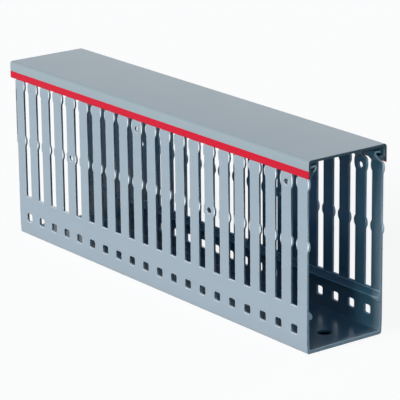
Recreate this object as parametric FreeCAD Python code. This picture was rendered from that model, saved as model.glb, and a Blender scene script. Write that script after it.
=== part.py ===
import FreeCAD, Part
import math
import os
from FreeCAD import Vector

os.makedirs("parts", exist_ok=True)

# Slotted wire duct with its clip-on cover, in millimetres.
# +X runs along the duct, +Y across it and +Z up.
# The origin is the middle of the duct's underside.
# A section's inset is measured inwards from the outer face of a duct wall.

# Closed duct
CLOSED_HEIGHT = 80.0
DUCT_WIDTH = 39.4

# Walls and base of the duct body
FINGER_THICKNESS = 1.1
SKIRT_THICKNESS = 1.3
BASE_THICKNESS = 1.5
FOOT_HEIGHT = 5.6
FOOT_SET_IN = 0.3
FOOT_ROUND = 0.9
FOOT_BLEND = 4.0
BASE_CORNER_ROUND = 0.7

# Stiffening rail inside each wall, just below the slots
RAIL_REACH = 1.6
RAIL_BELOW_SLOTS = 0.5
RAIL_SLOPE_DROP = 2.3
RAIL_NOSE = 1.5
RAIL_ROUND = 0.5

# Punched walls: slots with fingers between them
SLOT_COUNT = 20
SLOT_PITCH = 10.0
SLOT_WIDTH = 4.0
SLOT_FLOOR = 18.5

# Bumps on the edges of every finger, which narrow the slots
# Each is an arc in a few straight steps, which keeps the facets of the many bumps down
BUMP_REACH = 0.9
BUMP_STEPS = 5
MID_BUMP_HEIGHT = 44.5
MID_BUMP_LENGTH = 4.7
TOP_BUMP_LENGTH = 5.2
TOP_BUMP_ABOVE_SHOULDER = 0.6
HOLE_BUMP_EXTRA = 1.2

# Small round holes through every fifth finger, at the mid and top bumps in turn
PIN_HOLE_DIAMETER = 2.5
PIN_HOLE_EVERY = 5
TOP_PIN_HOLE_DROP = 3.5

# The -X end is sawn through its bumps and leaves this much of them
SAWN_BUMP_REACH = 0.5

# Square holes in the skirt, one below each slot
SQUARE_HOLE = 3.8
SQUARE_HOLE_HEIGHT = 8.6
SQUARE_HOLE_BEVEL = 0.6

# Fixing holes in the base: round holes with an oblong one between each two
FIXING_PITCH = 60.0
FIXING_DIAMETER = 6.5
FIXING_END_MARGIN = 10.0
OBLONG_WIDTH = 5.0
OBLONG_LENGTH = 12.0

# Clip hooks along the tops of the walls
HOOK_THICKNESS = 0.95
HOOK_CLEARANCE = 0.3
HOOK_HEADROOM = 1.5
LIP_PLAY = 0.7
CURL_OVERLAP = 1.0
CURL_DROP = 0.4
POCKET_ROOM = 1.4
CURL_ROUND = 1.2
SHOULDER_ROUND = 0.5
CURL_TIP_BEVEL = 0.3

# Cover
COVER_LENGTH = 211.0
COVER_SHIFT = -1.2
COVER_PROUD = 0.3
COVER_THICKNESS = 1.1
COVER_ROUND = 1.3
COVER_INNER_ROUND = 0.4
LIP_REACH = 2.6
LIP_THICKNESS = 0.8
LIP_ROUND = 0.35
FLANGE_EDGE_ROUND = 0.3

# Coloured band that runs along the lower edge of each cover flange
BAND_HEIGHT = 3.6
BAND_DEPTH = 0.35
BAND_TUCK = 1.2

# Lengths along X that follow from the pattern of the slots
FINGER_WIDTH = SLOT_PITCH - SLOT_WIDTH
DUCT_LENGTH = SLOT_COUNT * SLOT_PITCH + FINGER_WIDTH

# Heights and insets of the two interlocking hooks, worked down from the cover
DIAGONAL = math.sqrt(2.0)
COVER_UNDERSIDE = CLOSED_HEIGHT - COVER_THICKNESS
HOOK_TOP = COVER_UNDERSIDE - HOOK_HEADROOM
POCKET_TOP = HOOK_TOP - HOOK_THICKNESS
POCKET_INSET = LIP_REACH + POCKET_ROOM
CURL_INSET = LIP_REACH - CURL_OVERLAP
LIP_TOP_INSET = LIP_REACH - LIP_THICKNESS / DIAGONAL
CURL_SLOPE = CURL_DROP / (POCKET_INSET - CURL_INSET)
LIP_TOP = POCKET_TOP - CURL_SLOPE * (POCKET_INSET - LIP_TOP_INSET) - LIP_PLAY
LIP_LINE = LIP_TOP - LIP_REACH - LIP_THICKNESS / DIAGONAL
SHOULDER = LIP_LINE - HOOK_CLEARANCE * DIAGONAL
FLANGE_BOTTOM = LIP_LINE - COVER_PROUD

# Clear distance by which every cutter passes the faces that it cuts
CUT_MARGIN = 2.0


def rounded_wire(corners):
    """Closed wire through (point, radius) corners, each rounded by a tangent arc."""
    starts, ends, edges = [], [], []
    for index, (corner, radius) in enumerate(corners):
        if radius == 0:
            starts.append(corner)
            ends.append(corner)
            continue
        before = (corners[index - 1][0] - corner).normalize()
        after = (corners[(index + 1) % len(corners)][0] - corner).normalize()
        half_angle = before.getAngle(after) / 2
        setback = radius / math.tan(half_angle)
        bisector = (before + after).normalize()
        middle = corner + bisector * (radius / math.sin(half_angle) - radius)
        starts.append(corner + before * setback)
        ends.append(corner + after * setback)
        edges.append(Part.Arc(starts[-1], middle, ends[-1]).toShape())
    for index, end in enumerate(ends):
        following = starts[(index + 1) % len(starts)]
        if end.distanceToPoint(following) > 1e-6:
            edges.append(Part.LineSegment(end, following).toShape())
    return Part.Wire(Part.__sortEdges__(edges))


def prism(corners, direction):
    """Solid swept from the outline through the corners along the direction."""
    return Part.Face(rounded_wire(corners)).extrude(direction)


def bevelled(corners, setback):
    """Open outline with each corner between its first and its last cut off straight."""
    cut = []
    for (before, _), (corner, _), (after, _) in zip(corners, corners[1:], corners[2:]):
        cut.append((corner + (before - corner).normalize() * setback, 0.0))
        cut.append((corner + (after - corner).normalize() * setback, 0.0))
    return [corners[0], *cut, corners[-1]]


def section_corner(start, inset, height, radius=0.0):
    """Corner of a section across the duct, inset from the outer face of the +Y wall."""
    return Vector(start, DUCT_WIDTH / 2 - inset, height), radius


def mirrored_section(half):
    """Half a section and its mirror image, as one closed list of corners."""
    other = [(Vector(point.x, -point.y, point.z), radius) for point, radius in half]
    return half + other[::-1]


def duct_half_section(start):
    """Foot, wall, clip hook and rail of the +Y wall, from underside to base top."""
    corner = lambda *values: section_corner(start, *values)
    back_inset = POCKET_INSET + HOOK_THICKNESS
    slope_underside = SHOULDER - HOOK_THICKNESS * DIAGONAL
    curl_underside = POCKET_TOP - CURL_DROP
    rail_top = SLOT_FLOOR - RAIL_BELOW_SLOTS
    nose_top = rail_top - RAIL_SLOPE_DROP
    nose_inset = SKIRT_THICKNESS + RAIL_REACH
    curl = [
        corner(POCKET_INSET, POCKET_TOP),
        corner(CURL_INSET, curl_underside),
        corner(CURL_INSET, curl_underside + HOOK_THICKNESS),
        corner(back_inset, HOOK_TOP, CURL_ROUND),
    ]
    return [
        corner(FOOT_SET_IN, 0, FOOT_ROUND),
        corner(0, FOOT_HEIGHT, FOOT_BLEND),
        corner(0, SHOULDER, SHOULDER_ROUND),
        corner(POCKET_INSET, SHOULDER + POCKET_INSET),
        *bevelled(curl, CURL_TIP_BEVEL),
        corner(back_inset, slope_underside + back_inset),
        corner(FINGER_THICKNESS, slope_underside + FINGER_THICKNESS),
        corner(FINGER_THICKNESS, rail_top),
        corner(nose_inset, nose_top, RAIL_ROUND),
        corner(nose_inset, nose_top - RAIL_NOSE, RAIL_ROUND),
        corner(SKIRT_THICKNESS, nose_top - RAIL_NOSE),
        corner(SKIRT_THICKNESS, FOOT_HEIGHT),
        corner(SKIRT_THICKNESS + FOOT_SET_IN, BASE_THICKNESS, BASE_CORNER_ROUND),
    ]


def bump(edge_x, outwards, low, high):
    """Corners of one bump, along its arc on a finger's edge between two heights."""
    half_length = (high - low) / 2
    radius = (half_length**2 + BUMP_REACH**2) / (2 * BUMP_REACH)
    end_angle = math.asin(half_length / radius)
    corners = []
    for step in range(BUMP_STEPS + 1):
        angle = end_angle * (2 * step / BUMP_STEPS - 1)
        out = BUMP_REACH - radius * (1 - math.cos(angle))
        height = low + half_length + radius * math.sin(angle)
        corners.append((Vector(edge_x + outwards * out, 0, height), 0.0))
    return corners


def finger_edge(edge_x, outwards, long_top_bump, end_height):
    """Corners of one finger's edge, upwards from the slot floor, with its two bumps."""
    mid_low = MID_BUMP_HEIGHT - MID_BUMP_LENGTH / 2
    mid_high = MID_BUMP_HEIGHT + MID_BUMP_LENGTH / 2
    top_high = SHOULDER + TOP_BUMP_ABOVE_SHOULDER
    top_low = top_high - TOP_BUMP_LENGTH
    if long_top_bump:
        top_low -= HOLE_BUMP_EXTRA
    corners = bump(edge_x, outwards, mid_low, mid_high) + bump(edge_x, outwards, top_low, top_high)
    return corners + [(Vector(edge_x, 0, end_height), 0.0)]


def finger_centre(number):
    """X of a finger's middle; finger 0 is the first one at the -X end."""
    return (number - SLOT_COUNT / 2) * SLOT_PITCH


def pin_hole_fingers():
    """Finger numbers that carry a pin hole, with whether it is at the top bump."""
    fingers = range(PIN_HOLE_EVERY - 1, SLOT_COUNT, PIN_HOLE_EVERY)
    return {number: index % 2 == 1 for index, number in enumerate(fingers)}


def across_duct(corners):
    """Cutter through both walls, from an outline in the plane y = 0."""
    reach = DUCT_WIDTH + 2 * CUT_MARGIN
    moved = [(point - Vector(0, reach / 2, 0), radius) for point, radius in corners]
    return prism(moved, Vector(0, reach, 0))


def slot_cutters():
    """One cutter for each slot between two fingers."""
    holes = pin_hole_fingers()
    top = CLOSED_HEIGHT + CUT_MARGIN
    cutters = []
    for number in range(SLOT_COUNT):
        left_edge = finger_centre(number) + FINGER_WIDTH / 2
        right_edge = finger_centre(number + 1) - FINGER_WIDTH / 2
        left = finger_edge(left_edge, 1, holes.get(number, False), top)
        right = finger_edge(right_edge, -1, holes.get(number + 1, False), top)
        floor = [(Vector(right_edge, 0, SLOT_FLOOR), 0.0), (Vector(left_edge, 0, SLOT_FLOOR), 0.0)]
        cutters.append(across_duct(left + right[::-1] + floor))
    return cutters


def end_cutters():
    """Cutters that trim both ends like half a slot, so the end fingers keep their bumps."""
    top = CLOSED_HEIGHT + CUT_MARGIN
    cutters = []
    for side in (-1, 1):
        edge = side * DUCT_LENGTH / 2
        outside = edge + side * (BUMP_REACH + CUT_MARGIN)
        corners = finger_edge(edge, side, False, top)
        corners += [(Vector(outside, 0, top), 0.0), (Vector(outside, 0, -CUT_MARGIN), 0.0)]
        corners.append((Vector(edge, 0, -CUT_MARGIN), 0.0))
        cutters.append(across_duct(corners))
    return cutters


def square_hole_cutters():
    """One square hole with bevelled corners below each slot."""
    half = SQUARE_HOLE / 2
    signs = ((-1, -1), (1, -1), (1, 1), (-1, 1))
    cutters = []
    for number in range(SLOT_COUNT):
        middle = finger_centre(number) + SLOT_PITCH / 2
        corners = [
            (Vector(middle + sx * half, 0, SQUARE_HOLE_HEIGHT + sz * half), 0.0)
            for sx, sz in signs
        ]
        around = [corners[-1], *corners, corners[0]]
        cutters.append(across_duct(bevelled(around, SQUARE_HOLE_BEVEL)[1:-1]))
    return cutters


def pin_hole_cutters():
    """Round holes at the mid and top bumps of the fingers that have one."""
    reach = DUCT_WIDTH + 2 * CUT_MARGIN
    cutters = []
    for number, at_top in pin_hole_fingers().items():
        height = SHOULDER - TOP_PIN_HOLE_DROP if at_top else MID_BUMP_HEIGHT
        start = Vector(finger_centre(number), -reach / 2, height)
        cutters.append(Part.makeCylinder(PIN_HOLE_DIAMETER / 2, reach, start, Vector(0, 1, 0)))
    return cutters


def oblong_cutter(middle_x):
    """Oblong fixing hole along the middle of the base."""
    half_length, half_width = OBLONG_LENGTH / 2, OBLONG_WIDTH / 2
    straight = half_length - half_width
    signs = ((-1, -1), (1, -1), (1, 1), (-1, 1))
    bottom_z = -CUT_MARGIN
    flat = [Vector(middle_x + sx * straight, sy * half_width, bottom_z) for sx, sy in signs]
    tips = [Vector(middle_x + side * half_length, 0, bottom_z) for side in (1, -1)]
    edges = [
        Part.LineSegment(flat[0], flat[1]).toShape(),
        Part.Arc(flat[1], tips[0], flat[2]).toShape(),
        Part.LineSegment(flat[2], flat[3]).toShape(),
        Part.Arc(flat[3], tips[1], flat[0]).toShape(),
    ]
    return Part.Face(Part.Wire(edges)).extrude(Vector(0, 0, BASE_THICKNESS + 2 * CUT_MARGIN))


def base_fixing_cutters():
    """Round fixing holes along the middle of the base, with oblong holes between them."""
    gaps = int((DUCT_LENGTH - 2 * FIXING_END_MARGIN) / FIXING_PITCH)
    round_places = [(index - gaps / 2) * FIXING_PITCH for index in range(gaps + 1)]
    height = BASE_THICKNESS + 2 * CUT_MARGIN
    cutters = []
    for place in round_places:
        centre = Vector(place, 0, -CUT_MARGIN)
        cutters.append(Part.makeCylinder(FIXING_DIAMETER / 2, height, centre))
    for place in round_places[:-1]:
        cutters.append(oblong_cutter(place + FIXING_PITCH / 2))
    return cutters


def make_duct_body():
    """Channel with two walls of fingers, clip hooks, rails and all its holes."""
    sawn_end = -DUCT_LENGTH / 2 - SAWN_BUMP_REACH
    other_end = DUCT_LENGTH / 2 + BUMP_REACH
    corners = mirrored_section(duct_half_section(sawn_end))
    body = prism(corners, Vector(other_end - sawn_end, 0, 0))
    body = body.cut(slot_cutters() + end_cutters())
    return body.cut(square_hole_cutters() + pin_hole_cutters() + base_fixing_cutters())


def band_section(start, side):
    """Thin layer on a flange's outer face that tucks under its lower edge."""
    inner_inset = BAND_DEPTH - COVER_PROUD
    tuck_inset = BAND_TUCK - COVER_PROUD
    step = BAND_DEPTH / DIAGONAL
    band_top = FLANGE_BOTTOM + BAND_HEIGHT
    corner = lambda *values: section_corner(start, *values)
    corners = [
        corner(-COVER_PROUD, band_top),
        corner(-COVER_PROUD, FLANGE_BOTTOM, FLANGE_EDGE_ROUND),
        corner(tuck_inset, LIP_LINE + tuck_inset),
        corner(tuck_inset - step, LIP_LINE + tuck_inset + step),
        corner(inner_inset, LIP_LINE + inner_inset + BAND_DEPTH * DIAGONAL),
        corner(inner_inset, band_top),
    ]
    return [(Vector(point.x, side * point.y, point.z), radius) for point, radius in corners]


def cover_start():
    """X of the cover's -X end."""
    return COVER_SHIFT - COVER_LENGTH / 2


def make_band(side):
    """Coloured band of the flange on one side, -1 for front and 1 for rear."""
    return prism(band_section(cover_start(), side), Vector(COVER_LENGTH, 0, 0))


def make_cover(bands):
    """Cover with flanges and inward lips, recessed for the coloured bands."""
    corner = lambda *values: section_corner(cover_start(), *values)
    inner_inset = COVER_THICKNESS - COVER_PROUD
    half = [
        corner(inner_inset, COVER_UNDERSIDE, COVER_INNER_ROUND),
        corner(inner_inset, LIP_LINE + LIP_THICKNESS * DIAGONAL + inner_inset, COVER_INNER_ROUND),
        corner(LIP_TOP_INSET, LIP_TOP, LIP_ROUND),
        corner(LIP_REACH, LIP_LINE + LIP_REACH, LIP_ROUND),
        corner(-COVER_PROUD, FLANGE_BOTTOM, FLANGE_EDGE_ROUND),
        corner(-COVER_PROUD, CLOSED_HEIGHT, COVER_ROUND),
    ]
    cover = prism(mirrored_section(half), Vector(COVER_LENGTH, 0, 0))
    return cover.cut(bands)


def main():
    bands = {"band_front": make_band(-1), "band_rear": make_band(1)}
    nodes = {"duct_body": make_duct_body(), "cover": make_cover(list(bands.values()))}
    nodes.update(bands)
    for name, shape in nodes.items():
        shape.exportStep(f"parts/{name}.step")


main()
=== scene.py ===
import math

import bpy
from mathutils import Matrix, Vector


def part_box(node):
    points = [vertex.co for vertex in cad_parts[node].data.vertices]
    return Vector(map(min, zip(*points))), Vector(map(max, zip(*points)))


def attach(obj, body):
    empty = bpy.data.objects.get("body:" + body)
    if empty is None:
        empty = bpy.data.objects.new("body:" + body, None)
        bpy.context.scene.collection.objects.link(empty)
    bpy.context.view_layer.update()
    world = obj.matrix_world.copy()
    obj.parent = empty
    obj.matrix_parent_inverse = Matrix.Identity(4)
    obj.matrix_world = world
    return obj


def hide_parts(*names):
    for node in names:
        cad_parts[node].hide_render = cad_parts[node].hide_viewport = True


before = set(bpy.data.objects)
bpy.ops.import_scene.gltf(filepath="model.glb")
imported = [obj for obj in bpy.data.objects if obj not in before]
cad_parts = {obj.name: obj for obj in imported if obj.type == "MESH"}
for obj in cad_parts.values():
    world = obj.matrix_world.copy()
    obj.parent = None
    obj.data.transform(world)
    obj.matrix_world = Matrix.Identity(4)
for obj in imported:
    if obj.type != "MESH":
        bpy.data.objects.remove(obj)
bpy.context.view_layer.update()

# Slotted wire duct with a clip-on cover, in metres, in the frame of the CAD part.
# +X runs along the duct, +Y across it and +Z up. An inset is measured inwards from a wall's outer face.

# Places that the frame gives
duct_low, duct_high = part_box("duct_body")
cover_low, cover_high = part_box("cover")
WALL_FACE = duct_high.y
FLANGE_FACE = cover_high.y
CLOSED_HEIGHT = cover_high.z
SAWN_END = duct_low.x

# Walls, foot and base
FINGER_THICKNESS = 0.0011
SKIRT_THICKNESS = 0.0013
BASE_THICKNESS = 0.0015
FOOT_HEIGHT = 0.0056
FOOT_SET_IN = 0.0003
FOOT_ROUND = 0.0009
FOOT_BLEND = 0.004
BASE_CORNER_ROUND = 0.0007

# Stiffening rail inside each wall, just below the slots
RAIL_REACH = 0.0016
RAIL_BELOW_SLOTS = 0.0005
RAIL_SLOPE_DROP = 0.0023
RAIL_NOSE = 0.0015
RAIL_ROUND = 0.0005

# Slots, and fingers between them whose edges carry bumps
SLOT_COUNT = 20
SLOT_PITCH = 0.010
SLOT_WIDTH = 0.004
SLOT_FLOOR = 0.0185
BUMP_REACH = 0.0009
MID_BUMP_HEIGHT = 0.0445
MID_BUMP_LENGTH = 0.0047
TOP_BUMP_LENGTH = 0.0052
TOP_BUMP_ABOVE_SHOULDER = 0.0006
HOLE_BUMP_EXTRA = 0.0012

# Pin holes through every fifth finger, in a row that is centred some slot pitches along +X
PIN_HOLE_DIAMETER = 0.0025
PIN_HOLE_EVERY = 5
PIN_ROW_SHIFT = 1.5
TOP_PIN_HOLE_DROP = 0.0035

# Square holes below the slots, and fixing holes in the base
SQUARE_HOLE = 0.0038
SQUARE_HOLE_HEIGHT = 0.0086
SQUARE_HOLE_ROUND = 0.0008
FIXING_COUNT = 4
FIXING_PITCH = 0.060
FIXING_DIAMETER = 0.0065
OBLONG_WIDTH = 0.005
OBLONG_LENGTH = 0.012

# Clip hooks along the tops of the walls, and the cover that holds on to them
HOOK_THICKNESS = 0.00095
HOOK_CLEARANCE = 0.0003
HOOK_HEADROOM = 0.0015
LIP_PLAY = 0.0007
CURL_OVERLAP = 0.001
CURL_DROP = 0.0004
CURL_ROUND = 0.0012
CURL_TIP_ROUND = 0.00035
POCKET_ROOM = 0.0014
POCKET_ROUND = 0.0003
SHOULDER_ROUND = 0.0005
COVER_THICKNESS = 0.0011
COVER_ROUND = 0.0013
COVER_INNER_ROUND = 0.0004
LIP_REACH = 0.0026
LIP_THICKNESS = 0.0008
LIP_ROUND = 0.00035
FLANGE_EDGE_ROUND = 0.0003
BAND_HEIGHT = 0.0036
BAND_DEPTH = 0.00035
BAND_TUCK = 0.0012

# Softening of punched, sawn and moulded edges
PUNCHED_RIM = 0.00028
COVER_RIM = 0.00012
RIM_STEPS = 2
RIM_ANGLE = math.radians(50)

# Clear distance by which every cutter passes the faces that it cuts
CUT_MARGIN = 0.002
# Turn between two points of a rounded corner, and points round circles and small corners
ARC_STEP = math.radians(15)
CIRCLE_POINTS = 40
CORNER_POINTS = 6
# Two points closer than this are one
TOUCHING = 1e-6
# Least part of a face's normal that lies along X where the face is an end of its piece
END_FACING = 0.7

# Heights and insets that follow from the sizes above
DIAGONAL = math.sqrt(2)
COVER_PROUD = FLANGE_FACE - WALL_FACE
FINGER_WIDTH = SLOT_PITCH - SLOT_WIDTH
DUCT_LENGTH = SLOT_COUNT * SLOT_PITCH + FINGER_WIDTH
COVER_UNDERSIDE = CLOSED_HEIGHT - COVER_THICKNESS
HOOK_TOP = COVER_UNDERSIDE - HOOK_HEADROOM
POCKET_TOP = HOOK_TOP - HOOK_THICKNESS
POCKET_INSET = LIP_REACH + POCKET_ROOM
CURL_INSET = LIP_REACH - CURL_OVERLAP
LIP_TOP_INSET = LIP_REACH - LIP_THICKNESS / DIAGONAL
CURL_SLOPE = CURL_DROP / (POCKET_INSET - CURL_INSET)
LIP_TOP = POCKET_TOP - CURL_SLOPE * (POCKET_INSET - LIP_TOP_INSET) - LIP_PLAY
LIP_LINE = LIP_TOP - LIP_REACH - LIP_THICKNESS / DIAGONAL
SHOULDER = LIP_LINE - HOOK_CLEARANCE * DIAGONAL
FLANGE_BOTTOM = LIP_LINE - COVER_PROUD
RAIL_TOP = SLOT_FLOOR - RAIL_BELOW_SLOTS


def placed(name, data):
    """New object of the scene."""
    thing = bpy.data.objects.new(name, data)
    bpy.context.scene.collection.objects.link(thing)
    return thing


def add(tree, kind, sockets=None, **settings):
    """New node of a tree, with its settings and with values or links for its sockets."""
    node = tree.nodes.new(kind)
    for name, value in settings.items():
        setattr(node, name, value)
    for name, value in (sockets or {}).items():
        if isinstance(value, bpy.types.NodeSocket):
            tree.links.new(value, node.inputs[name])
        else:
            node.inputs[name].default_value = value
    return node


def calculate(tree, operation, first, second=0.0):
    """Result of a Math node on two sockets or numbers."""
    return add(tree, "ShaderNodeMath", {0: first, 1: second}, operation=operation).outputs[0]


def halved(tree, value):
    """Half of a socket's value."""
    return calculate(tree, "MULTIPLY", value, 0.5)


def distance(tree, first, second):
    """How far two sockets or numbers are apart."""
    return calculate(tree, "ABSOLUTE", calculate(tree, "SUBTRACT", first, second))


def vector(tree, x=0.0, y=0.0, z=0.0):
    """Vector made of three sockets or numbers."""
    return add(tree, "ShaderNodeCombineXYZ", {0: x, 1: y, 2: z}).outputs[0]


# Outlines


def rounded(corners):
    """Points of a closed outline through (x, y, radius) corners, each rounded by a tangent arc."""
    points = []
    for index, (x, y, radius) in enumerate(corners):
        corner = Vector((x, y))
        before = (Vector(corners[index - 1][:2]) - corner).normalized()
        after = (Vector(corners[(index + 1) % len(corners)][:2]) - corner).normalized()
        if radius == 0:
            points.append(corner)
            continue
        half_angle = before.angle(after) / 2
        centre = corner + (before + after).normalized() * radius / math.sin(half_angle)
        setback = radius / math.tan(half_angle)
        start = corner + before * setback - centre
        end = corner + after * setback - centre
        turn = math.pi - 2 * half_angle
        steps = max(2, math.ceil(turn / ARC_STEP))
        for step in range(steps + 1):
            share = step / steps
            spoke = start * math.sin((1 - share) * turn) + end * math.sin(share * turn)
            points.append(centre + spoke / math.sin(turn))
    return points


def outline_object(name, corners):
    """Object whose mesh is a closed line through rounded corners, drawn in the XY plane."""
    points = rounded(corners)
    mesh = bpy.data.meshes.new(name)
    lines = [(index, (index + 1) % len(points)) for index in range(len(points))]
    mesh.from_pydata([(x, y, 0) for x, y in points], lines, [])
    return placed(name, mesh)


def wall_corner(inset, height, radius=0.0):
    """Corner of a section across the duct, inset from the outer face of the +Y wall."""
    return WALL_FACE - inset, height, radius


def with_mirror(half):
    """Half a section and its mirror image as one closed list of corners."""
    return half + [(-across, height, radius) for across, height, radius in half[::-1]]


def duct_section():
    """Foot, wall, clip hook and rail of both walls, with the base between them."""
    back_inset = POCKET_INSET + HOOK_THICKNESS
    slope_underside = SHOULDER - HOOK_THICKNESS * DIAGONAL
    curl_underside = POCKET_TOP - CURL_DROP
    nose_top = RAIL_TOP - RAIL_SLOPE_DROP
    nose_inset = SKIRT_THICKNESS + RAIL_REACH
    return with_mirror([
        wall_corner(FOOT_SET_IN, 0, FOOT_ROUND),
        wall_corner(0, FOOT_HEIGHT, FOOT_BLEND),
        wall_corner(0, SHOULDER, SHOULDER_ROUND),
        wall_corner(POCKET_INSET, SHOULDER + POCKET_INSET, POCKET_ROUND),
        wall_corner(POCKET_INSET, POCKET_TOP, POCKET_ROUND),
        wall_corner(CURL_INSET, curl_underside, CURL_TIP_ROUND),
        wall_corner(CURL_INSET, curl_underside + HOOK_THICKNESS, CURL_TIP_ROUND),
        wall_corner(back_inset, HOOK_TOP, CURL_ROUND),
        wall_corner(back_inset, slope_underside + back_inset, POCKET_ROUND),
        wall_corner(FINGER_THICKNESS, slope_underside + FINGER_THICKNESS),
        wall_corner(FINGER_THICKNESS, RAIL_TOP),
        wall_corner(nose_inset, nose_top, RAIL_ROUND),
        wall_corner(nose_inset, nose_top - RAIL_NOSE, RAIL_ROUND),
        wall_corner(SKIRT_THICKNESS, nose_top - RAIL_NOSE),
        wall_corner(SKIRT_THICKNESS, FOOT_HEIGHT),
        wall_corner(SKIRT_THICKNESS + FOOT_SET_IN, BASE_THICKNESS, BASE_CORNER_ROUND),
    ])


def band_seat():
    """Corners of the step in a flange that a band fills, from its inner end outwards."""
    inner_inset = BAND_DEPTH - COVER_PROUD
    tuck_inset = BAND_TUCK - COVER_PROUD
    step = BAND_DEPTH / DIAGONAL
    return [
        wall_corner(tuck_inset, LIP_LINE + tuck_inset),
        wall_corner(tuck_inset - step, LIP_LINE + tuck_inset + step),
        wall_corner(inner_inset, LIP_LINE + inner_inset + BAND_DEPTH * DIAGONAL),
        wall_corner(inner_inset, FLANGE_BOTTOM + BAND_HEIGHT),
    ]


def cover_section():
    """Top, flanges and inward lips of the cover, stepped where the bands lie."""
    inner_inset = COVER_THICKNESS - COVER_PROUD
    lip_root = LIP_LINE + LIP_THICKNESS * DIAGONAL + inner_inset
    return with_mirror([
        wall_corner(inner_inset, COVER_UNDERSIDE, COVER_INNER_ROUND),
        wall_corner(inner_inset, lip_root, COVER_INNER_ROUND),
        wall_corner(LIP_TOP_INSET, LIP_TOP, LIP_ROUND),
        wall_corner(LIP_REACH, LIP_LINE + LIP_REACH, LIP_ROUND),
        *band_seat(),
        wall_corner(-COVER_PROUD, FLANGE_BOTTOM + BAND_HEIGHT),
        wall_corner(-COVER_PROUD, CLOSED_HEIGHT, COVER_ROUND),
    ])


def band_section(side):
    """Red layer on the outer face of the flange on one side (-1 or 1), tucked under the flange's edge."""
    corners = [
        wall_corner(-COVER_PROUD, FLANGE_BOTTOM + BAND_HEIGHT),
        wall_corner(-COVER_PROUD, FLANGE_BOTTOM, FLANGE_EDGE_ROUND),
        *band_seat(),
    ]
    return [(side * across, height, radius) for across, height, radius in corners]


# Node trees that make the pieces


def new_tree(name, sizes):
    """Geometry tree with an outline and a named input for each size: tree, given sockets, result."""
    tree = bpy.data.node_groups.new(name, "GeometryNodeTree")
    tree.interface.new_socket("Outline", in_out="INPUT", socket_type="NodeSocketGeometry")
    for size, value in sizes.items():
        kind = "NodeSocketInt" if isinstance(value, int) else "NodeSocketFloat"
        tree.interface.new_socket(size, in_out="INPUT", socket_type=kind)
    tree.interface.new_socket("Solid", in_out="OUTPUT", socket_type="NodeSocketGeometry")
    given = tree.nodes.new("NodeGroupInput").outputs
    result = tree.nodes.new("NodeGroupOutput").inputs["Solid"]
    return tree, given, result


def joined(tree, *shapes):
    """Several shapes as one."""
    node = add(tree, "GeometryNodeJoinGeometry")
    for shape in shapes:
        tree.links.new(shape, node.inputs[0])
    return node.outputs[0]


def moved(tree, shape, place=None, turn=(0, 0, 0)):
    """Shape turned and then moved to a place."""
    sockets = {"Geometry": shape, "Rotation": turn}
    if place is not None:
        sockets["Translation"] = place
    return add(tree, "GeometryNodeTransform", sockets).outputs[0]


def lifted(tree, points, rise):
    """Points moved up by a rise."""
    sockets = {"Geometry": points, "Offset": vector(tree, 0, 0, rise)}
    return add(tree, "GeometryNodeSetPosition", sockets).outputs[0]


def prism(tree, curve, height):
    """Closed solid raised along +Z from a flat closed curve."""
    filled = add(tree, "GeometryNodeFillCurve", {"Curve": curve}, mode="NGONS").outputs[0]
    raised = add(tree, "GeometryNodeExtrudeMesh", {
        "Mesh": filled,
        "Offset": (0, 0, 1),
        "Offset Scale": height,
        "Individual": False,
    }).outputs[0]
    underside = add(tree, "GeometryNodeFlipFaces", {"Mesh": filled}).outputs[0]
    both = joined(tree, raised, underside)
    return add(tree, "GeometryNodeMergeByDistance", {0: both, "Distance": TOUCHING}).outputs[0]


def section_swept(tree, outline, start, length):
    """Solid with the outline as its section, from a start along +X."""
    curve = add(tree, "GeometryNodeMeshToCurve", {"Mesh": outline}).outputs[0]
    upright = (math.pi / 2, 0, math.pi / 2)
    return moved(tree, prism(tree, curve, length), vector(tree, start), upright)


def block(tree, width, depth, height):
    """Plain block, centred."""
    size = vector(tree, width, depth, height)
    return add(tree, "GeometryNodeMeshCube", {"Size": size}).outputs["Mesh"]


def rounded_block(tree, width, height, radius, depth):
    """Solid along +Z with a rounded rectangle as its outline."""
    rectangle = add(tree, "GeometryNodeCurvePrimitiveQuadrilateral", {0: width, 1: height}).outputs[0]
    fillet = add(tree, "GeometryNodeFilletCurve", {
        "Curve": rectangle,
        "Count": CORNER_POINTS,
        "Radius": radius,
        "Limit Radius": True,
    }, mode="POLY").outputs[0]
    return prism(tree, fillet, depth)


def cylinder(tree, diameter, depth):
    """Cylinder along Z, centred."""
    sockets = {"Vertices": CIRCLE_POINTS, "Radius": halved(tree, diameter), "Depth": depth}
    return add(tree, "GeometryNodeMeshCylinder", sockets).outputs["Mesh"]


def row(tree, count, pitch, height, centre=0.0):
    """Row of points along X, centred, at a height."""
    gaps = calculate(tree, "SUBTRACT", count, 1)
    length = calculate(tree, "MULTIPLY", gaps, pitch)
    first = calculate(tree, "SUBTRACT", centre, halved(tree, length))
    return add(tree, "GeometryNodeMeshLine", {
        "Count": count,
        "Start Location": vector(tree, first, 0, height),
        "Offset": vector(tree, pitch),
    }).outputs[0]


def along(tree, points, shape, scale=(1, 1, 1)):
    """The shape repeated at each point."""
    sockets = {"Points": points, "Instance": shape, "Scale": scale}
    instances = add(tree, "GeometryNodeInstanceOnPoints", sockets).outputs[0]
    return add(tree, "GeometryNodeRealizeInstances", {0: instances}).outputs[0]


def without(tree, solid, cutter):
    """The solid minus the cutter."""
    sockets = {"Mesh 1": solid, "Mesh 2": cutter}
    settings = {"operation": "DIFFERENCE", "solver": "EXACT"}
    return add(tree, "GeometryNodeMeshBoolean", sockets, **settings).outputs[0]


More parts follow.
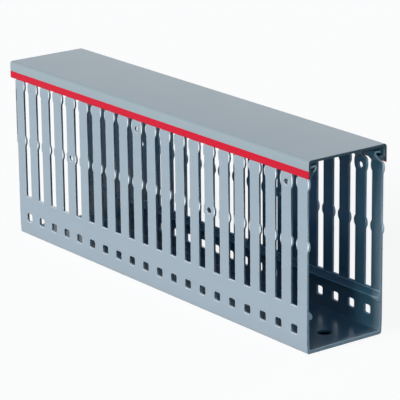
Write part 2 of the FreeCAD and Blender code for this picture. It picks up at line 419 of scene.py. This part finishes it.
def bump_bars(tree, given, fingers):
    """Bars through both walls that leave the bumps standing on every finger's edges."""
    half_width = halved(tree, given["Finger width"])
    half_bar = calculate(tree, "ADD", half_width, given["Bump reach"])
    bar = moved(tree, cylinder(tree, 2.0, 1.0), turn=(math.pi / 2, 0, 0))

    # The bar has a radius and a length of 1. Each point stretches it into an oval one that is as high
    # at the finger's edge as the bump is long.
    share = calculate(tree, "DIVIDE", half_width, half_bar)
    hidden = calculate(tree, "SUBTRACT", 1, calculate(tree, "MULTIPLY", share, share))
    spread = halved(tree, calculate(tree, "INVERSE_SQRT", hidden))

    tall = calculate(tree, "MULTIPLY", spread, given["Mid bump length"])
    mid_points = row(tree, fingers, given["Slot pitch"], given["Mid bump height"])
    mid = along(tree, mid_points, bar, vector(tree, half_bar, given["Through"], tall))

    # The top bumps are longer on the last finger of each period, which has a pin hole up there
    index = add(tree, "GeometryNodeInputIndex").outputs[0]
    period = calculate(tree, "MULTIPLY", given["Pin hole every"], 2)
    place = calculate(tree, "MODULO", index, period)
    last = calculate(tree, "SUBTRACT", period, 1)
    holed = calculate(tree, "GREATER_THAN", place, calculate(tree, "SUBTRACT", last, 0.5))
    extra = calculate(tree, "MULTIPLY", holed, given["Hole bump extra"])
    length = calculate(tree, "ADD", given["Top bump length"], extra)
    top_points = row(tree, fingers, given["Slot pitch"], given["Top bump top"])
    top_points = lifted(tree, top_points, calculate(tree, "MULTIPLY", length, -0.5))
    tall = calculate(tree, "MULTIPLY", spread, length)
    top = along(tree, top_points, bar, vector(tree, half_bar, given["Through"], tall))
    return joined(tree, mid, top)


def slots_and_ends(tree, given):
    """Cutter of all slots and of both trimmed ends, with the bumps left out of it."""
    above = calculate(tree, "ADD", given["Closed height"], CUT_MARGIN)
    height = calculate(tree, "SUBTRACT", above, given["Slot floor"])
    middle = calculate(tree, "ADD", given["Slot floor"], halved(tree, height))
    slot = block(tree, given["Slot width"], given["Through"], height)
    slots = along(tree, row(tree, given["Slot count"], given["Slot pitch"], middle), slot)

    fingers = calculate(tree, "ADD", given["Slot count"], 1)
    full = calculate(tree, "ADD", given["Closed height"], 2 * CUT_MARGIN)
    trimmer = block(tree, given["Slot width"], given["Through"], full)
    apart = calculate(tree, "MULTIPLY", fingers, given["Slot pitch"])
    ends = along(tree, row(tree, 2, apart, halved(tree, given["Closed height"])), trimmer)
    return without(tree, joined(tree, slots, ends), bump_bars(tree, given, fingers))


def pin_holes(tree, given):
    """Round cutters at the mid and top bumps in turn, on every fifth finger."""
    every = given["Pin hole every"]
    count = calculate(tree, "DIVIDE", given["Slot count"], every)
    pitch = calculate(tree, "MULTIPLY", given["Slot pitch"], every)
    centre = calculate(tree, "MULTIPLY", given["Slot pitch"], PIN_ROW_SHIFT)
    index = add(tree, "GeometryNodeInputIndex").outputs[0]
    at_top = calculate(tree, "MODULO", index, 2)
    rise = calculate(tree, "SUBTRACT", given["Top pin hole height"], given["Mid bump height"])
    points = row(tree, count, pitch, given["Mid bump height"], centre)
    points = lifted(tree, points, calculate(tree, "MULTIPLY", at_top, rise))
    pin = cylinder(tree, given["Pin hole diameter"], given["Through"])
    return along(tree, points, moved(tree, pin, turn=(math.pi / 2, 0, 0)))


def square_holes(tree, given):
    """Square cutters with rounded corners, one below each slot."""
    side = given["Square hole"]
    punch = rounded_block(tree, side, side, given["Square hole round"], given["Through"])
    near = vector(tree, 0, halved(tree, given["Through"]))
    across = moved(tree, punch, near, (math.pi / 2, 0, 0))
    points = row(tree, given["Slot count"], given["Slot pitch"], given["Square hole height"])
    return along(tree, points, across)


def base_fixings(tree, given):
    """Round cutters along the middle of the base, with an oblong one between each two."""
    deep = calculate(tree, "ADD", given["Base thickness"], 2 * CUT_MARGIN)
    half_base = halved(tree, given["Base thickness"])
    drill = cylinder(tree, given["Fixing diameter"], deep)
    rounds = along(tree, row(tree, given["Fixing count"], given["Fixing pitch"], half_base), drill)
    end_round = halved(tree, given["Oblong width"])
    punch = rounded_block(tree, given["Oblong length"], given["Oblong width"], end_round, deep)
    oblong_count = calculate(tree, "SUBTRACT", given["Fixing count"], 1)
    oblongs = along(tree, row(tree, oblong_count, given["Fixing pitch"], -CUT_MARGIN), punch)
    return joined(tree, rounds, oblongs)


def faces_along_x(tree):
    """1 on faces that look along the duct, either way, else 0."""
    normal = add(tree, "GeometryNodeInputNormal").outputs[0]
    along_x = add(tree, "ShaderNodeSeparateXYZ", {0: normal}).outputs["X"]
    return calculate(tree, "GREATER_THAN", calculate(tree, "ABSOLUTE", along_x), END_FACING)


def finished(tree, solid, skin, cut, is_cut):
    """Real mesh with one finish, and another one on its cut faces."""
    real = add(tree, "GeometryNodeRealizeInstances", {0: solid}).outputs[0]
    whole = add(tree, "GeometryNodeSetMaterial", {"Geometry": real, "Material": skin}).outputs[0]
    sockets = {"Geometry": whole, "Selection": is_cut, "Material": cut}
    return add(tree, "GeometryNodeSetMaterial", sockets).outputs[0]


def duct_tree(sizes, skin, cut):
    """Tree of the punched channel: its section swept, then slots, ends and holes taken out."""
    tree, given, result = new_tree("punched channel", sizes)
    past_bumps = calculate(tree, "ADD", given["Bump reach"], CUT_MARGIN)
    other_end = calculate(tree, "ADD", halved(tree, given["Duct length"]), past_bumps)
    length = calculate(tree, "SUBTRACT", other_end, given["Sawn end"])
    channel = section_swept(tree, given["Outline"], given["Sawn end"], length)
    cutters = joined(
        tree,
        slots_and_ends(tree, given),
        pin_holes(tree, given),
        square_holes(tree, given),
        base_fixings(tree, given),
    )
    # The cutters' faces carry a mark that stays on the faces that they leave
    kind = {"data_type": "BOOLEAN"}
    sockets = {"Geometry": cutters, "Name": "punched", "Value": True}
    marked = add(tree, "GeometryNodeStoreNamedAttribute", sockets, domain="FACE", **kind).outputs[0]
    punched = without(tree, channel, marked)
    mark = add(tree, "GeometryNodeInputNamedAttribute", {"Name": "punched"}, **kind).outputs[0]
    either = calculate(tree, "MAXIMUM", mark, faces_along_x(tree))
    tree.links.new(finished(tree, punched, skin, cut, either), result)
    return tree


def swept_tree(name, sizes, skin, cut):
    """Tree of a plain extrusion: its section swept along X, with sawn ends."""
    tree, given, result = new_tree(name, sizes)
    solid = section_swept(tree, given["Outline"], given["Start"], given["Length"])
    tree.links.new(finished(tree, solid, skin, cut, faces_along_x(tree)), result)
    return tree


def made(name, corners, tree, sizes):
    """Plain mesh object that a tree makes from an outline."""
    outline = outline_object(name + " outline", corners)
    maker = outline.modifiers.new("Maker", "NODES")
    maker.node_group = tree
    for socket in tree.interface.items_tree:
        if socket.name in sizes:
            maker[socket.identifier] = sizes[socket.name]
    ready = outline.evaluated_get(bpy.context.evaluated_depsgraph_get())
    mesh = bpy.data.meshes.new_from_object(ready)
    bpy.data.objects.remove(outline)
    mesh.name = name
    # The outline's own empty material slot comes first and is dropped
    mesh.materials.pop(index=0)
    return placed(name, mesh)


def soften(piece, width, finish=None):
    """Rounds off the hard edges of a piece a little, with a finish of their own where one is given."""
    piece.data.shade_smooth()
    bevel = piece.modifiers.new("Rims", "BEVEL")
    bevel.width = width
    bevel.segments = RIM_STEPS
    bevel.limit_method = "ANGLE"
    bevel.angle_limit = RIM_ANGLE
    bevel.use_clamp_overlap = False
    bevel.harden_normals = True
    if finish is not None:
        piece.data.materials.append(finish)
        bevel.material = len(piece.data.materials) - 1


# Finishes

# Colours of the PVC as extruded, where a tool has cut it, and of the white highlights painted on it
GREY = (0.36, 0.415, 0.46)
CUT_GREY = (0.53, 0.57, 0.60)
HIGHLIGHT_WHITE = (0.95, 0.96, 0.97)
COVER_GREY = (0.36, 0.41, 0.435)
# Grey of the cover's sawn ends, made dark with painted shade
COVER_END_SHADE_GREY = (0.11, 0.14, 0.16)
RED = (0.68, 0.012, 0.035)
CUT_RED = (0.40, 0.01, 0.03)
# Share of its colour that each finish gains and loses as its pattern varies
SKIN_SPREAD = 0.025
RIM_SPREAD = 0.04
PUNCHED_SPREAD = 0.08
SAWN_SPREAD = 0.15

# Gloss, and the least and most roughness, of each finish. No roughness goes from one side of about 0.274
# to the other, because that leaves dark dashes in a render that is cleaned of its noise.
GLOSS_TINT = (0.4, 0.75, 1)
SKIN_GLOSS = 0.22
SKIN_ROUGHNESS = (0.20, 0.27)
COVER_ROUGHNESS = (0.28, 0.38)
RED_GLOSS = 0.12
RED_ROUGHNESS = (0.3, 0.4)
CUT_GLOSS = 0.1
CUT_ROUGHNESS = (0.42, 0.62)
RIM_GLOSS = 0.8
RIM_ROUGHNESS = (0.15, 0.25)

# Share of the clouds in a skin's shade, of the lines in its roughness and of the grain in its relief
SKIN_CLOUDS = 0.5
SKIN_LINES = 0.4
SKIN_GRAIN = 0.3
# Share of the grain in the shade of a cut face and in its relief
CUT_SHADE_GRAIN = 0.3
CUT_RELIEF_GRAIN = 0.4

# Depth of the relief of each finish
SKIN_RELIEF = 0.0000012
CUT_RELIEF = 0.00004
RIM_RELIEF = 0.00001

# Sizes of the features in the surfaces, along X, Y and Z
DRAW_LINES = (0.5, 0.004, 0.004)
PUNCH_LINES = (0.0006, 0.02, 0.0006)
SAW_LINES = (0.0005, 0.0005, 0.012)
CLOUDS = (0.014, 0.014, 0.014)
GRAIN = (0.0003, 0.0003, 0.0003)
SPECKS = (0.0011, 0.0011, 0.0011)

# Part of a noise's range over which a finish changes, part that makes a speck, and the speck's shade
NOISE_RANGE = (0.3, 0.7)
SPECK_RANGE = (0.30, 0.36)
SPECK_SHADE = 0.35

# Where the painted white highlight starts and is full on a bump, as shares of its reach past the finger's
# edge
CREST_RANGE = (0.25, 0.65)
# Steepness between which a rim gets a painted white highlight, the most of that highlight that it gets,
# and the share that grain leaves
STEEP_RANGE = (0.05, 0.4)
RIM_HIGHLIGHT = 0.5
GRAINY_HIGHLIGHT = 0.8
# Width of the painted highlight lines along a rail
RAIL_HIGHLIGHT_WIDTH = 0.0003
# Share of its colour that the cover keeps where shade is painted in its folds, and how far a fold's face
# turns both ways
FOLD_SHADE = 0.86
FOLD_RANGE = (0.1, 0.4)

# Numbers of the sockets that a Mix node has for two colours and for their mixture
FIRST_COLOUR = 6
SECOND_COLOUR = 7
MIXED_COLOUR = 2


def plastic(name, gloss):
    """New plastic material with an even gloss: the material, its tree and its shader."""
    material = bpy.data.materials.new(name)
    material.use_nodes = True
    shader = material.node_tree.nodes["Principled BSDF"]
    shader.inputs["Specular IOR Level"].default_value = gloss
    shader.inputs["Specular Tint"].default_value = (*GLOSS_TINT, 1)
    return material, material.node_tree, shader


def axes(tree, kind):
    """X, Y and Z of a point's place (Object) or of the way its surface faces (Normal)."""
    found = add(tree, "ShaderNodeTexCoord").outputs[kind]
    return add(tree, "ShaderNodeSeparateXYZ", {0: found}).outputs


def pattern(tree, size, detail=2.0):
    """Noise from 0 to 1 whose features have a size along each axis."""
    place = add(tree, "ShaderNodeTexCoord").outputs["Object"]
    scale = [1 / length for length in size]
    sized = add(tree, "ShaderNodeMapping", {"Vector": place, "Scale": scale}).outputs[0]
    sockets = {"Vector": sized, "Scale": 1.0, "Detail": detail}
    return add(tree, "ShaderNodeTexNoise", sockets).outputs["Fac"]


def blended(tree, first, second, share):
    """Mixture of two patterns, with a share of the second."""
    weighed = calculate(tree, "MULTIPLY", second, share)
    return calculate(tree, "ADD", calculate(tree, "MULTIPLY", first, 1 - share), weighed)


def between(tree, value, low, high, span=NOISE_RANGE):
    """Value that goes from low to high while another one goes through a span."""
    start, stop = span
    sockets = {"Value": value, "From Min": start, "From Max": stop, "To Min": low, "To Max": high}
    return add(tree, "ShaderNodeMapRange", sockets).outputs[0]


def scaled(colour, factor):
    """A colour made darker or lighter by a factor."""
    return tuple(channel * factor for channel in colour)


def mixed(tree, share, first, second):
    """Colour between two others, each a colour or a socket."""
    sockets = {0: share}
    for number, colour in ((FIRST_COLOUR, first), (SECOND_COLOUR, second)):
        sockets[number] = colour if isinstance(colour, bpy.types.NodeSocket) else (*colour, 1)
    return add(tree, "ShaderNodeMix", sockets, data_type="RGBA").outputs[MIXED_COLOUR]


def shades(tree, value, colour, spread):
    """A colour that gets darker and lighter by a spread as a pattern varies."""
    dark = scaled(colour, 1 - spread)
    light = scaled(colour, 1 + spread)
    return mixed(tree, between(tree, value, 0, 1), dark, light)


def with_marks(tree, shade, marks):
    """The shade with another colour in each of some places."""
    for where, colour in marks:
        shade = mixed(tree, where(tree), shade, colour)
    return shade


def wrap(tree, shader, colour, roughness, height, depth):
    """Gives a shader its colour, roughness and relief."""
    tree.links.new(colour, shader.inputs["Base Color"])
    tree.links.new(roughness, shader.inputs["Roughness"])
    bump = add(tree, "ShaderNodeBump", {"Height": height, "Distance": depth, "Strength": 1.0})
    tree.links.new(bump.outputs[0], shader.inputs["Normal"])


def painted_highlight_at_crests(tree):
    """1 on the crests of the bumps, where a white highlight is painted, else 0."""
    place = axes(tree, "Object")
    from_finger = calculate(tree, "PINGPONG", place["X"], SLOT_PITCH / 2)
    span = [FINGER_WIDTH / 2 + share * BUMP_REACH for share in CREST_RANGE]
    crest = between(tree, from_finger, 0, 1, span)
    above_floor = calculate(tree, "GREATER_THAN", place["Z"], SLOT_FLOOR + SLOT_WIDTH)
    return calculate(tree, "MULTIPLY", crest, above_floor)


def painted_highlight_at_rail_edges(tree):
    """1 along the two upper edges of the stiffening rails, where a white highlight is painted, else 0."""
    place = axes(tree, "Object")
    half_slope = RAIL_SLOPE_DROP / 2
    from_middle = distance(tree, place["Z"], RAIL_TOP - half_slope)
    from_edge = distance(tree, from_middle, half_slope)
    line = between(tree, from_edge, 1, 0, (RAIL_HIGHLIGHT_WIDTH / 2, RAIL_HIGHLIGHT_WIDTH))
    across = calculate(tree, "ABSOLUTE", place["Y"])
    inside = calculate(tree, "LESS_THAN", across, WALL_FACE - SKIRT_THICKNESS / 2)
    return calculate(tree, "MULTIPLY", line, inside)


def painted_shade_at_folds(tree):
    """1 where the cover folds over between its top and its flanges, where shade is painted, else 0."""
    facing = axes(tree, "Normal")
    both_ways = calculate(tree, "ABSOLUTE", calculate(tree, "MULTIPLY", facing["Y"], facing["Z"]))
    return between(tree, both_ways, 0, 1, FOLD_RANGE)


def extruded(name, colour, gloss, roughness, marks=()):
    """Skin that comes out of the die: fine lines along the duct, faint clouds and a micro grain."""
    material, tree, shader = plastic(name, gloss)
    lines = pattern(tree, DRAW_LINES, 0.0)
    clouds = pattern(tree, CLOUDS)
    grain = pattern(tree, GRAIN)
    shade = shades(tree, blended(tree, lines, clouds, SKIN_CLOUDS), colour, SKIN_SPREAD)
    rough = between(tree, blended(tree, clouds, lines, SKIN_LINES), *roughness)
    relief = blended(tree, lines, grain, SKIN_GRAIN)
    wrap(tree, shader, with_marks(tree, shade, marks), rough, relief, SKIN_RELIEF)
    return material


def toolmarked(name, colour, spread, tool_lines, marks=()):
    """Face left by a punch or a saw: duller, with fine tool lines and a few dark specks."""
    material, tree, shader = plastic(name, CUT_GLOSS)
    lines = pattern(tree, tool_lines)
    grain = pattern(tree, GRAIN)
    shade = shades(tree, blended(tree, lines, grain, CUT_SHADE_GRAIN), colour, spread)
    specks = between(tree, pattern(tree, SPECKS), 1, 0, SPECK_RANGE)
    speckled = mixed(tree, specks, shade, scaled(colour, SPECK_SHADE))
    rough = between(tree, lines, *CUT_ROUGHNESS)
    relief = blended(tree, lines, grain, CUT_RELIEF_GRAIN)
    wrap(tree, shader, with_marks(tree, speckled, marks), rough, relief, CUT_RELIEF)
    return material


def rim_with_painted_highlight(name, colour):
    """Rolled edge of the punched plastic, with a white highlight painted where the edge runs round a bump
    or a hole.
    """
    material, tree, shader = plastic(name, RIM_GLOSS)
    grain = pattern(tree, GRAIN)
    steepness = calculate(tree, "ABSOLUTE", axes(tree, "Normal")["Z"])
    slope_highlight = between(tree, steepness, 0, RIM_HIGHLIGHT, STEEP_RANGE)
    grainy_highlight = calculate(tree, "MULTIPLY", slope_highlight, between(tree, grain, GRAINY_HIGHLIGHT, 1))
    either = calculate(tree, "MAXIMUM", grainy_highlight, painted_highlight_at_crests(tree))
    shade = mixed(tree, either, shades(tree, grain, colour, RIM_SPREAD), HIGHLIGHT_WHITE)
    wrap(tree, shader, shade, between(tree, grain, *RIM_ROUGHNESS), grain, RIM_RELIEF)
    return material


# Painted white highlight on the bump crests
crests = (painted_highlight_at_crests, HIGHLIGHT_WHITE)
# Painted white highlight along the upper edges of the rails
rail_edges = (painted_highlight_at_rail_edges, HIGHLIGHT_WHITE)
# Painted shade in the cover's folds
folds = (painted_shade_at_folds, scaled(COVER_GREY, FOLD_SHADE))
skin = extruded("extruded grey PVC", GREY, SKIN_GLOSS, SKIN_ROUGHNESS, [crests, rail_edges])
cut = toolmarked("punched grey PVC", CUT_GREY, PUNCHED_SPREAD, PUNCH_LINES, [crests])
# Rolled rims with a painted white highlight on bumps and holes
rim = rim_with_painted_highlight("rolled rim of grey PVC", GREY)
cover_skin = extruded("extruded cover PVC", COVER_GREY, SKIN_GLOSS, COVER_ROUGHNESS, [folds])
# The cover's sawn ends carry painted shade in their dark grey
cover_cut = toolmarked("sawn cover PVC in painted shade", COVER_END_SHADE_GREY, SAWN_SPREAD, SAW_LINES)
red = extruded("extruded red PVC", RED, RED_GLOSS, RED_ROUGHNESS)
red_cut = toolmarked("sawn red PVC", CUT_RED, SAWN_SPREAD, SAW_LINES)


# Pieces

duct_sizes = {
    "Sawn end": SAWN_END,
    "Duct length": DUCT_LENGTH,
    "Through": 2 * (WALL_FACE + CUT_MARGIN),
    "Closed height": CLOSED_HEIGHT,
    "Slot count": SLOT_COUNT,
    "Slot pitch": SLOT_PITCH,
    "Slot width": SLOT_WIDTH,
    "Slot floor": SLOT_FLOOR,
    "Finger width": FINGER_WIDTH,
    "Bump reach": BUMP_REACH,
    "Mid bump height": MID_BUMP_HEIGHT,
    "Mid bump length": MID_BUMP_LENGTH,
    "Top bump top": SHOULDER + TOP_BUMP_ABOVE_SHOULDER,
    "Top bump length": TOP_BUMP_LENGTH,
    "Hole bump extra": HOLE_BUMP_EXTRA,
    "Pin hole diameter": PIN_HOLE_DIAMETER,
    "Pin hole every": PIN_HOLE_EVERY,
    "Top pin hole height": SHOULDER - TOP_PIN_HOLE_DROP,
    "Square hole": SQUARE_HOLE,
    "Square hole height": SQUARE_HOLE_HEIGHT,
    "Square hole round": SQUARE_HOLE_ROUND,
    "Base thickness": BASE_THICKNESS,
    "Fixing count": FIXING_COUNT,
    "Fixing pitch": FIXING_PITCH,
    "Fixing diameter": FIXING_DIAMETER,
    "Oblong width": OBLONG_WIDTH,
    "Oblong length": OBLONG_LENGTH,
}
cover_sizes = {"Start": cover_low.x, "Length": cover_high.x - cover_low.x}

duct = made("duct", duct_section(), duct_tree(duct_sizes, skin, cut), duct_sizes)
soften(duct, PUNCHED_RIM, rim)
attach(duct, "duct")
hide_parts("duct_body")

cover_tree = swept_tree("cover", cover_sizes, cover_skin, cover_cut)
lid = made("lid", cover_section(), cover_tree, cover_sizes)
soften(lid, COVER_RIM)
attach(lid, "cover")
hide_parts("cover")

band_tree = swept_tree("band", cover_sizes, red, red_cut)
for node, side in (("band_front", -1), ("band_rear", 1)):
    band = made(node + "_layer", band_section(side), band_tree, cover_sizes)
    soften(band, COVER_RIM)
    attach(band, "cover")
    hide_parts(node)


# Studio

# Viewpoint of the photograph: place in metres, turn in degrees and lens in millimetres
CAMERA_PLACE = (0.794473, -0.593078, 0.338124)
CAMERA_TURN = (73.0368, 0.6243, 52.7907)
CAMERA_LENS = 218.1305

# Light that comes from all round
WHITE = (1, 1, 1, 1)
BLACK = (0, 0, 0, 1)
FILL_COLOUR = (0.1, 0.5, 1, 1)
FILL_LEVEL = 0.12

# Floor, how much of its white glows, and its grey where light bounces off it or can't get to it
FLOOR_REACH = 3.0
FLOOR_GLOW = 0.9
FLOOR_DARK = (0.03, 0.03, 0.03, 1)

# Flag, a black card just inside the near wall, how far it passes the left end, and the strip light on it
FLAG_PLACE = -0.0162
FLAG_BEYOND = 0.012
STRIP_COLOUR = (0.12, 0.5, 1)
STRIP_POWER = 0.004
STRIP_WIDTH = 0.01
STRIP_HEIGHT = 0.05

# Colours of the lamps
LAMP_WHITE = (1, 1, 1)
SECOND_KEY_COLOUR = (0.3, 0.8, 1)
END_COLOUR = (0.6, 0.88, 1)


def make_camera():
    """Camera at the photograph's viewpoint."""
    data = bpy.data.cameras.new("camera")
    data.lens = CAMERA_LENS
    camera = placed("camera", data)
    camera.location = CAMERA_PLACE
    camera.rotation_euler = [math.radians(angle) for angle in CAMERA_TURN]
    bpy.context.scene.camera = camera


def make_sun(name, bearing, height, strength, softness, colour=LAMP_WHITE, in_gloss=True):
    """Soft lamp at a bearing from the front, turning towards +X, and a height, in degrees."""
    data = bpy.data.lights.new(name, "SUN")
    data.energy = strength
    data.color = colour
    data.angle = math.radians(softness)
    sun = placed(name, data)
    sun.rotation_euler = (math.radians(90 - height), 0, math.radians(bearing))
    sun.visible_glossy = in_gloss


def seen_directly(tree):
    """1 for rays from the camera or through a gloss or clear surface, else 0."""
    path = add(tree, "ShaderNodeLightPath").outputs
    seen = calculate(tree, "MAXIMUM", path["Is Camera Ray"], path["Is Glossy Ray"])
    return calculate(tree, "MAXIMUM", seen, path["Is Transmission Ray"])


def make_world():
    """White backdrop and a dim blue fill."""
    world = bpy.data.worlds.new("studio")
    bpy.context.scene.world = world
    world.use_nodes = True
    tree = world.node_tree
    tree.nodes.clear()
    fill = add(tree, "ShaderNodeBackground", {"Color": FILL_COLOUR, "Strength": FILL_LEVEL})
    white = add(tree, "ShaderNodeBackground", {"Color": WHITE, "Strength": 1})
    sockets = {0: seen_directly(tree), 1: fill.outputs[0], 2: white.outputs[0]}
    both = add(tree, "ShaderNodeMixShader", sockets)
    add(tree, "ShaderNodeOutputWorld", {"Surface": both.outputs[0]})


def beside_duct(tree):
    """0 on the floor under the duct, where its base keeps the light off, else 1."""
    place = axes(tree, "Object")
    from_middle = calculate(tree, "ABSOLUTE", place["X"])
    from_line = calculate(tree, "ABSOLUTE", place["Y"])
    past_end = calculate(tree, "GREATER_THAN", from_middle, DUCT_LENGTH / 2)
    past_wall = calculate(tree, "GREATER_THAN", from_line, WALL_FACE - FOOT_ROUND)
    return calculate(tree, "MAXIMUM", past_end, past_wall)


def floor_material():
    """Pale where it is seen from above, dark to the light that bounces, and clear from below."""
    material = bpy.data.materials.new("floor")
    material.use_nodes = True
    tree = material.node_tree
    tree.nodes.clear()
    dull = add(tree, "ShaderNodeBsdfDiffuse", {"Color": WHITE})
    glow = add(tree, "ShaderNodeEmission", {"Color": WHITE, "Strength": 1})
    pale = add(tree, "ShaderNodeMixShader", {0: FLOOR_GLOW, 1: dull.outputs[0], 2: glow.outputs[0]})
    dark = add(tree, "ShaderNodeBsdfDiffuse", {"Color": FLOOR_DARK})
    lit = calculate(tree, "MULTIPLY", seen_directly(tree), beside_duct(tree))
    above = add(tree, "ShaderNodeMixShader", {0: lit, 1: dark.outputs[0], 2: pale.outputs[0]})
    clear = add(tree, "ShaderNodeBsdfTransparent")
    from_below = add(tree, "ShaderNodeNewGeometry").outputs["Backfacing"]
    sides = add(tree, "ShaderNodeMixShader", {0: from_below, 1: above.outputs[0], 2: clear.outputs[0]})
    add(tree, "ShaderNodeOutputMaterial", {"Surface": sides.outputs[0]})
    return material


def panel(name, corners, material):
    """Flat part of the studio with four corners."""
    mesh = bpy.data.meshes.new(name)
    mesh.from_pydata(corners, [], [(0, 1, 2, 3)])
    mesh.materials.append(material)
    return placed(name, mesh)


def make_floor():
    """Pale floor that keeps a faint shadow."""
    reach = FLOOR_REACH
    corners = [(-reach, -reach, 0), (reach, -reach, 0), (reach, reach, 0), (-reach, reach, 0)]
    floor = panel("floor", corners, floor_material())


def make_flag():
    """Black card inside the channel that isn't seen but keeps the lamps off the far wall."""
    material = bpy.data.materials.new("black card")
    material.use_nodes = True
    shader = material.node_tree.nodes["Principled BSDF"]
    shader.inputs["Base Color"].default_value = BLACK
    shader.inputs["Specular IOR Level"].default_value = 0
    left = -DUCT_LENGTH / 2 - FLAG_BEYOND
    right = DUCT_LENGTH / 2
    sides = ((left, BASE_THICKNESS), (right, BASE_THICKNESS), (right, LIP_TOP), (left, LIP_TOP))
    flag = panel("flag", [(x, FLAG_PLACE, z) for x, z in sides], material)
    flag.visible_camera = False
    flag.visible_glossy = False
    flag.visible_transmission = False


def make_strip():
    """Dim blue strip light on the back of the flag, towards the inside of the far wall."""
    data = bpy.data.lights.new("strip", "AREA")
    data.shape = "RECTANGLE"
    data.size = DUCT_LENGTH
    data.size_y = STRIP_WIDTH
    data.energy = STRIP_POWER
    data.color = STRIP_COLOUR
    strip = placed("strip", data)
    strip.location = (0, FLAG_PLACE + TOUCHING, STRIP_HEIGHT)
    strip.rotation_euler = (math.radians(90), 0, 0)
    strip.visible_camera = False
    strip.visible_glossy = False


make_camera()
make_world()
make_floor()
make_flag()
make_strip()
# The two strong lamps leave no highlight, so that the cover stays grey from the front and the back
make_sun("key", bearing=-5, height=28, strength=3.4, softness=26, in_gloss=False)
make_sun("rear", bearing=180, height=8, strength=2.6, softness=30, in_gloss=False)
make_sun("second key", bearing=22, height=8, strength=0.35, softness=16, colour=SECOND_KEY_COLOUR)
make_sun("end", bearing=90, height=0, strength=0.95, softness=8, colour=END_COLOUR)
bpy.context.scene.view_settings.view_transform = "Standard"
